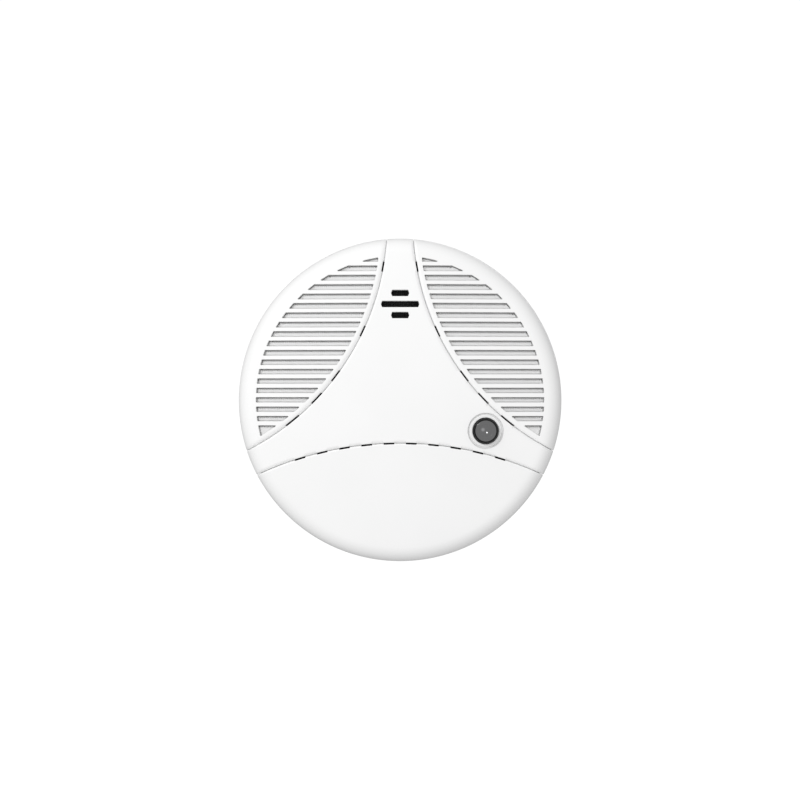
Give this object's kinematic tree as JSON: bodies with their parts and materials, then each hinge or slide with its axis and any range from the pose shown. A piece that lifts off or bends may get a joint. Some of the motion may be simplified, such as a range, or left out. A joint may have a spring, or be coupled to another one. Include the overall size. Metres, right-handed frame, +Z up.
{
  "type": "carbon monoxide detector",
  "caption": "Round wall or ceiling carbon monoxide detector with a three-armed fascia, louvred gas inlets, slotted sounder grille, smoked test button and a twist-lock base.",
  "frame": {"origin": "centre of the flat mounting face, on the wall plane", "axes": "+Y into the wall, so the face looks towards -Y; +Z up; +X to the right of someone facing the detector"},
  "size_m": [0.125, 0.041, 0.125],
  "materials": {
    "cover_plastic": "fine moulded satin white",
    "base_plastic": "plain moulded white",
    "baffle_plastic": "pale grey, matt",
    "black_plastic": "matt black",
    "insect_mesh": "black woven nylon mesh",
    "smoked_lens": "smoked, polished",
    "pcb_laminate": "green solder mask",
    "plated_steel": "nickel plated",
    "sensor_steel": "drawn steel can",
    "sounder_brass": "plain",
    "battery_sleeve": "plain shrink sleeve, no printing",
    "foam_gasket": "closed cell foam",
    "filter_felt": "pressed felt",
    "led_epoxy": "clear tinted epoxy",
    "capacitor_can": "sleeved can"
  },
  "bodies": {
    "mounting_base": {"mounting_base": "base_plastic"},
    "detector_head": {"rear_housing": "base_plastic", "battery_door": "base_plastic", "front_cover": "cover_plastic", "centre_fascia": "cover_plastic", "left_baffle": "baffle_plastic", "right_baffle": "baffle_plastic", "insect_screen": "insect_mesh", "main_pcb": "pcb_laminate", "sounder_housing": "black_plastic", "piezo_disc": "sounder_brass", "co_sensor_cell": "sensor_steel", "sensor_gasket": "foam_gasket", "sensor_filter": "filter_felt", "battery": "battery_sleeve", "battery_contact_positive": "plated_steel", "battery_contact_negative": "plated_steel", "rf_shield": "plated_steel", "microcontroller": "black_plastic", "capacitor": "capacitor_can", "antenna_wire": "plated_steel", "status_led": "led_epoxy", "tact_switch": "black_plastic", "tamper_switch": "black_plastic", "tamper_spring": "plated_steel", "case_screw_1": "plated_steel", "case_screw_2": "plated_steel", "case_screw_3": "plated_steel", "pcb_screw_1": "plated_steel", "pcb_screw_2": "plated_steel", "pcb_screw_3": "plated_steel"},
    "test_button": {"test_button": "smoked_lens", "tact_plunger": "black_plastic"},
    "tamper_plunger": {"tamper_plunger": "base_plastic"}
  },
  "joints": [
    {"name": "head_twist", "type": "hinge", "parent": "mounting_base", "child": "detector_head", "pos_m": [0, 0, 0], "axis": [0, -1, 0], "range_deg": [0, 15]},
    {"name": "test_button_press", "type": "slide", "parent": "detector_head", "child": "test_button", "axis": [0, 1, 0], "range_m": [0, 0.0008], "stiffness_N_per_m": 1500},
    {"name": "tamper_plunger_slide", "type": "slide", "parent": "detector_head", "child": "tamper_plunger", "axis": [0, 1, 0], "range_m": [0, 0.0015], "deforming": ["tamper_spring"]}
  ],
  "couplings": [
    {"joint": "tamper_plunger_slide", "follows": "head_twist", "m_per_rad": 0.005729}
  ]
}
